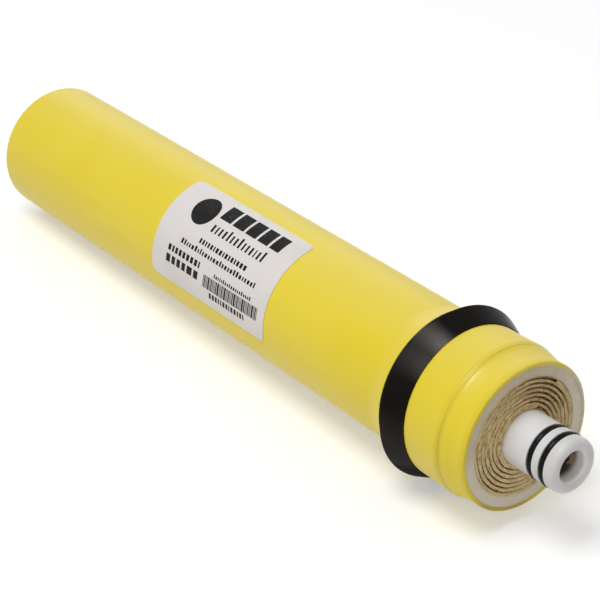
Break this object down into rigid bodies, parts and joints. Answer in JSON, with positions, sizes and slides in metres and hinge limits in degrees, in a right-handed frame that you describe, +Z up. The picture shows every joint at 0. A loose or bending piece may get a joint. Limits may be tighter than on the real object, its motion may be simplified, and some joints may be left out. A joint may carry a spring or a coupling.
{
  "type": "reverse osmosis membrane",
  "caption": "Spiral-wound reverse osmosis membrane element with a perforated product tube, O-ring spigot, flared brine seal and wrapped shell.",
  "frame": {"origin": "on the element's axis, in the plane of the shell's end face that the product spigot leaves", "axes": "+X along the axis, out of the O-ring end; +Z up with the element lying on its side, on the seal's lip and its plain end; the label faces -Y and up"},
  "size_m": [0.2906, 0.056, 0.056],
  "materials": {
    "white_shell": "matte, moulded",
    "yellow_wrap": "satin, shrunk film",
    "black_rubber": "smooth rubber",
    "white_tube": "smooth, moulded",
    "membrane": "matte, coated cloth",
    "spacer_net": "extruded net",
    "carrier_cloth": "fine knit",
    "label_paper": "coated paper"
  },
  "bodies": {
    "root": {"outer_shell": "white_shell", "yellow_wrap": "yellow_wrap", "brine_seal": "black_rubber", "permeate_tube": "white_tube", "inner_o_ring": "black_rubber", "outer_o_ring": "black_rubber", "membrane_sheet": "membrane", "feed_spacer": "spacer_net", "permeate_carrier": "carrier_cloth", "label": "label_paper"}
  },
  "joints": []
}
